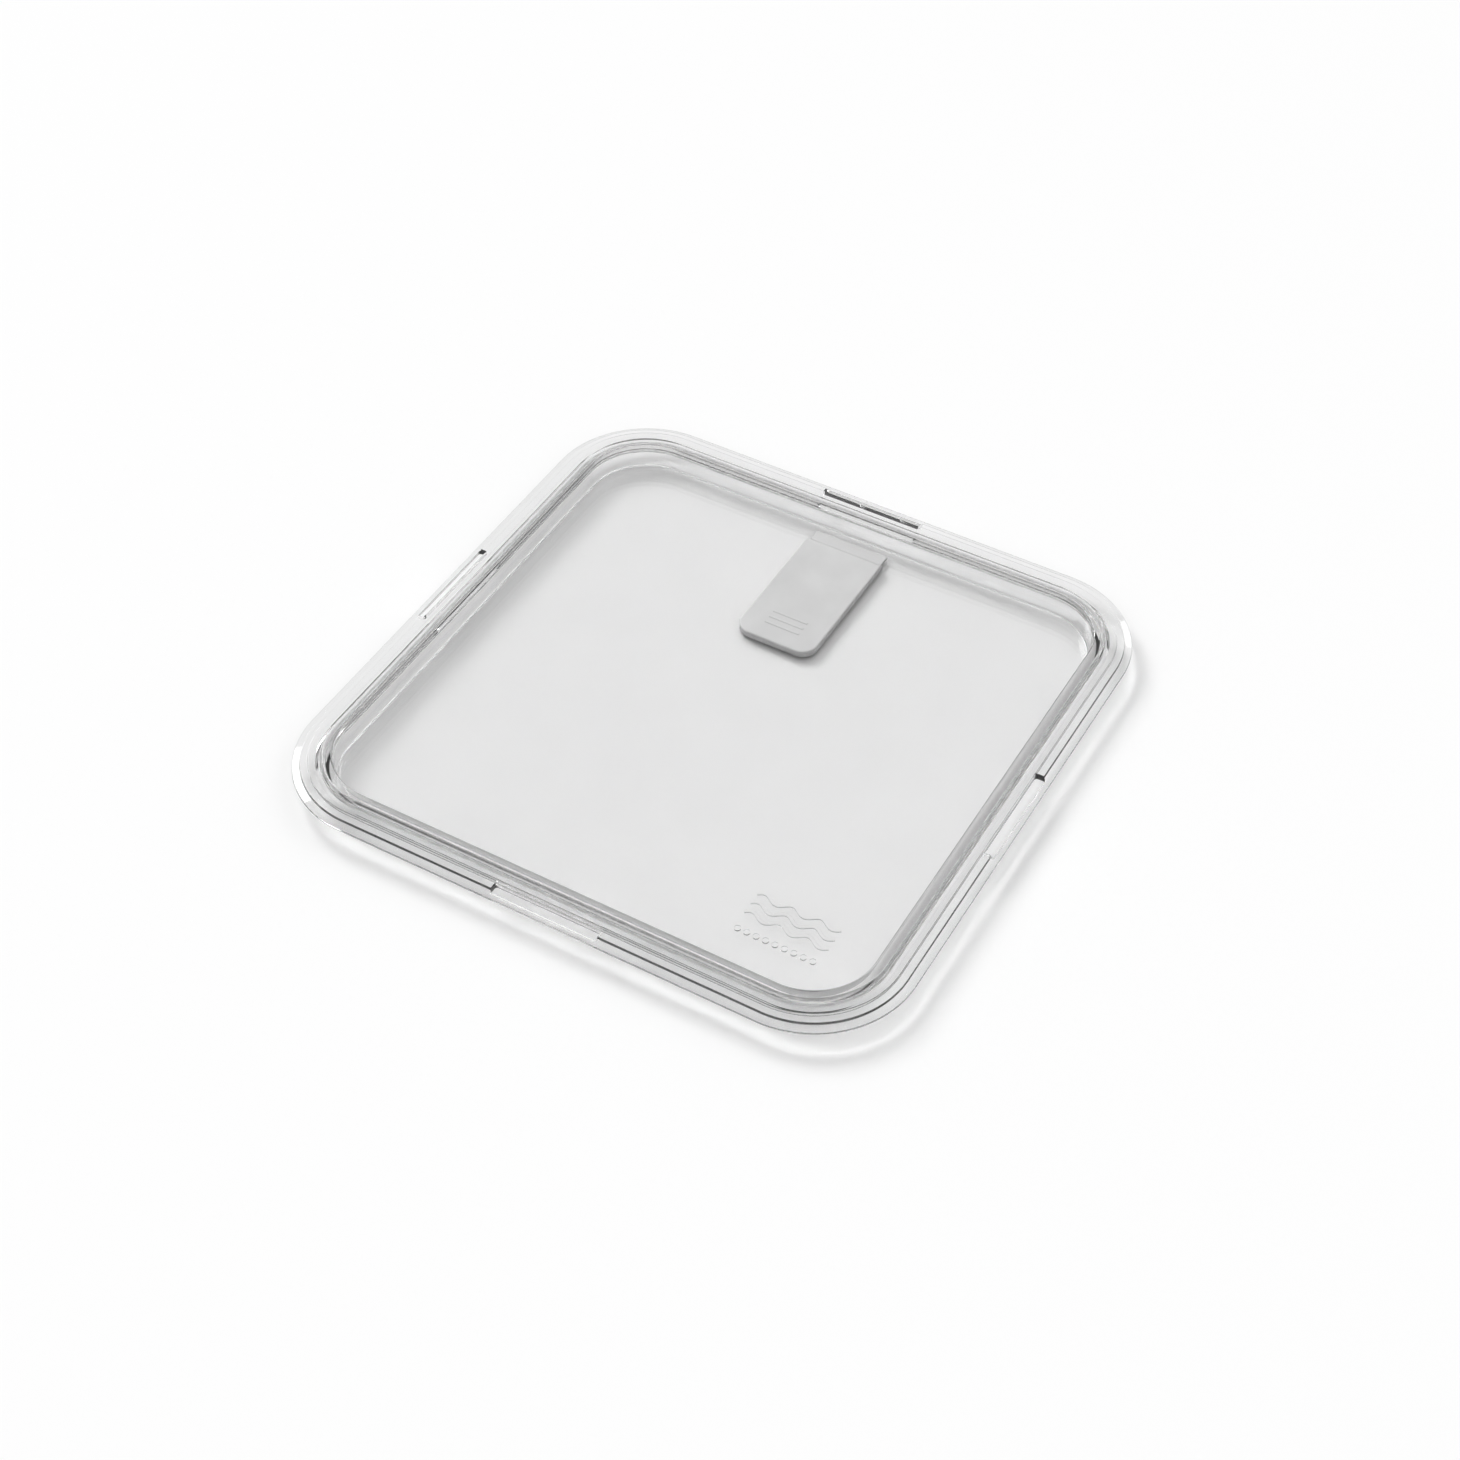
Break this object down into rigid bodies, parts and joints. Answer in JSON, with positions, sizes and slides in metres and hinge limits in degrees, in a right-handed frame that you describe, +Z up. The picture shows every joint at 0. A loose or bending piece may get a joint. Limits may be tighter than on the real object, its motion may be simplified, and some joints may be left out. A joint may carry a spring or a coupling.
{
  "type": "lunch box inner lid",
  "caption": "Square clear plastic airtight inner lid with rounded corners, a recessed panel, a raised rim, latch slots, a seal ring and a silicone vent tab.",
  "frame": {"origin": "middle of the lid's flat underside, which is the bottom centre of its bounding box", "axes": "+Z up out of the recess; +Y towards the side that the vent's root is on; +X to the right when looking along +Y"},
  "size_m": [0.135, 0.135, 0.0069],
  "materials": {
    "clear_plastic": "clear, polished, faintly grey",
    "milky_silicone": "translucent, satin",
    "grey_silicone": "matte, soft touch"
  },
  "bodies": {
    "lid": {"lid_shell": "clear_plastic", "seal_ring": "milky_silicone", "vent_anchor": "grey_silicone"},
    "tab": {"vent_tab": "grey_silicone"}
  },
  "joints": [
    {"name": "vent_hinge", "type": "hinge", "parent": "lid", "child": "tab", "pos_m": [0, 0.053, 0.0022], "axis": [-1, 0, 0], "range_deg": [0, 110], "stiffness_Nm_per_rad": 0.0009}
  ]
}
